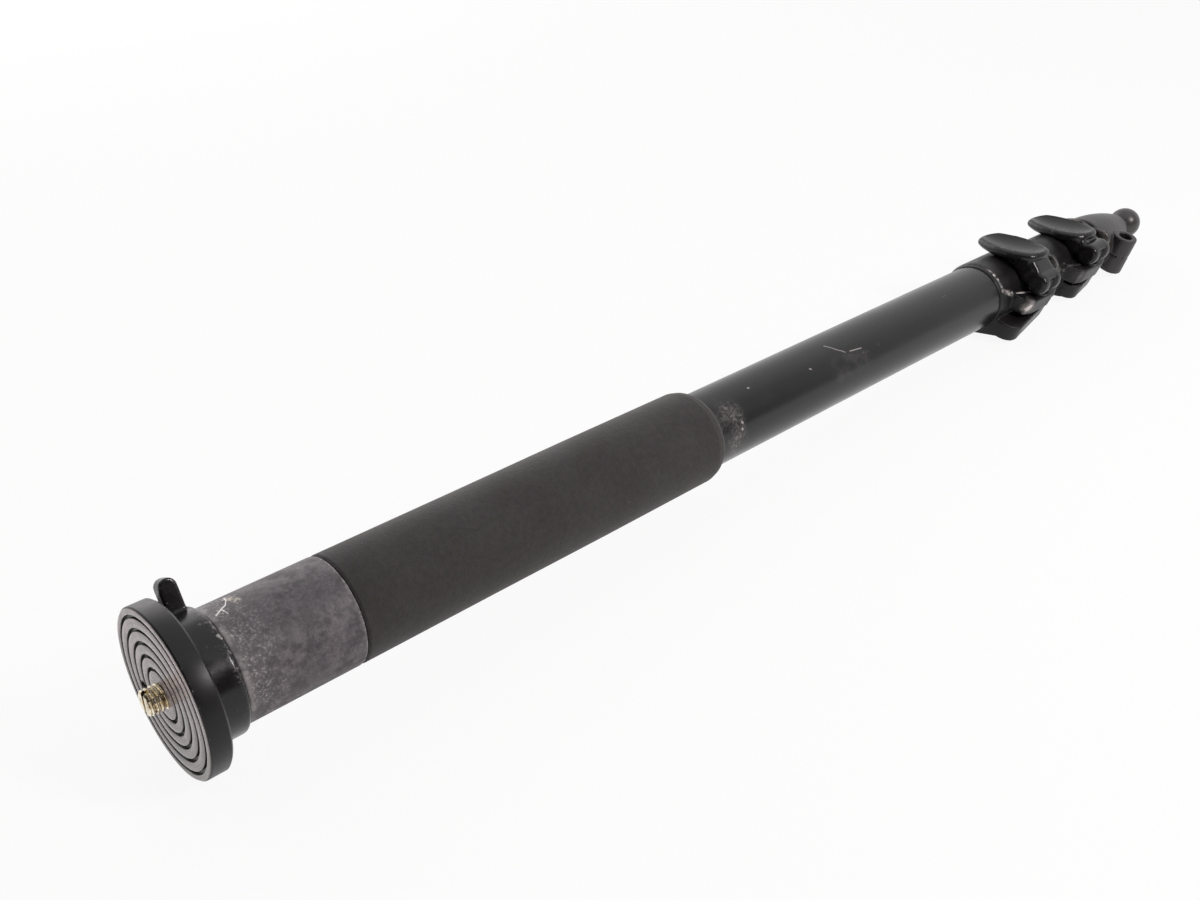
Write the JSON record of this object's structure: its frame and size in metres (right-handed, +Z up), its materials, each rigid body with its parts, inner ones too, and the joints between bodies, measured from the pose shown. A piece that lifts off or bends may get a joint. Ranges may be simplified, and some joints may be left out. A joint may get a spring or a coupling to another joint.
{
  "type": "camera monopod",
  "caption": "Telescoping camera monopod: grooved camera plate with a screw, foam grip, black tubes, cam lever locks with dished paddles, and a clamped ball foot.",
  "frame": {"origin": "centre of the camera plate's face, on the tube axis, where the camera screw stands out", "axes": "+X along the tube from the camera plate to the ball foot, +Z up as it lies, the lock lugs towards -Y"},
  "size_m": [0.6697, 0.062, 0.0634],
  "materials": {
    "plate_paint": "painted semi-gloss black, worn",
    "stud_brass": "dull plated brass",
    "steel": "plated steel",
    "plug_alloy": "cast, bare",
    "ring_plastic": "glossy black, dusty",
    "sleeve_rubber": "grey, dusty and scuffed",
    "grip_foam": "fine matte foam",
    "tube_black": "satin black anodised",
    "casting_grey": "dark grey coat, worn at edges",
    "lever_black": "painted satin black",
    "bush_plastic": "pale bearing plastic",
    "ball_rubber": "smooth black rubber"
  },
  "bodies": {
    "upper_section": {"camera_plate": "plate_paint", "camera_stud": "stud_brass", "stud_nut": "steel", "head_plug": "plug_alloy", "head_rivets": "steel", "grip_sleeve": "sleeve_rubber", "foam_grip": "grip_foam", "upper_tube": "tube_black", "upper_lock_body": "casting_grey", "upper_lock_liner": "bush_plastic", "upper_lock_bolt": "steel", "upper_lock_pin": "steel", "upper_lock_nut": "steel", "upper_lock_saddle": "steel"},
    "ring": {"strap_ring": "ring_plastic"},
    "upper_lever": {"upper_lock_lever": "lever_black"},
    "middle_section": {"middle_tube": "tube_black", "middle_guide": "bush_plastic", "lower_lock_body": "casting_grey", "lower_lock_liner": "bush_plastic", "lower_lock_bolt": "steel", "lower_lock_pin": "steel", "lower_lock_nut": "steel", "lower_lock_saddle": "steel"},
    "lower_lever": {"lower_lock_lever": "lever_black"},
    "lower_section": {"lower_tube": "tube_black", "lower_guide": "bush_plastic", "foot_casting": "casting_grey", "foot_screw": "steel", "foot_nut": "steel", "ball_foot": "ball_rubber", "foot_stem": "steel"}
  },
  "joints": [
    {"name": "ring_turn", "type": "hinge", "parent": "upper_section", "child": "ring", "pos_m": [0.0137, 0, 0], "axis": [1, 0, 0], "continuous": true},
    {"name": "upper_lever_turn", "type": "hinge", "parent": "upper_section", "child": "upper_lever", "pos_m": [0.505, -0.02554, 0.00965], "axis": [1, 0, 0], "range_deg": [0, 100]},
    {"name": "middle_slide", "type": "slide", "parent": "upper_section", "child": "middle_section", "axis": [1, 0, 0], "range_m": [0, 0.445]},
    {"name": "lower_lever_turn", "type": "hinge", "parent": "middle_section", "child": "lower_lever", "pos_m": [0.565, -0.02319, 0.0105], "axis": [1, 0, 0], "range_deg": [0, 100]},
    {"name": "lower_slide", "type": "slide", "parent": "middle_section", "child": "lower_section", "axis": [1, 0, 0], "range_m": [0, 0.467]}
  ]
}
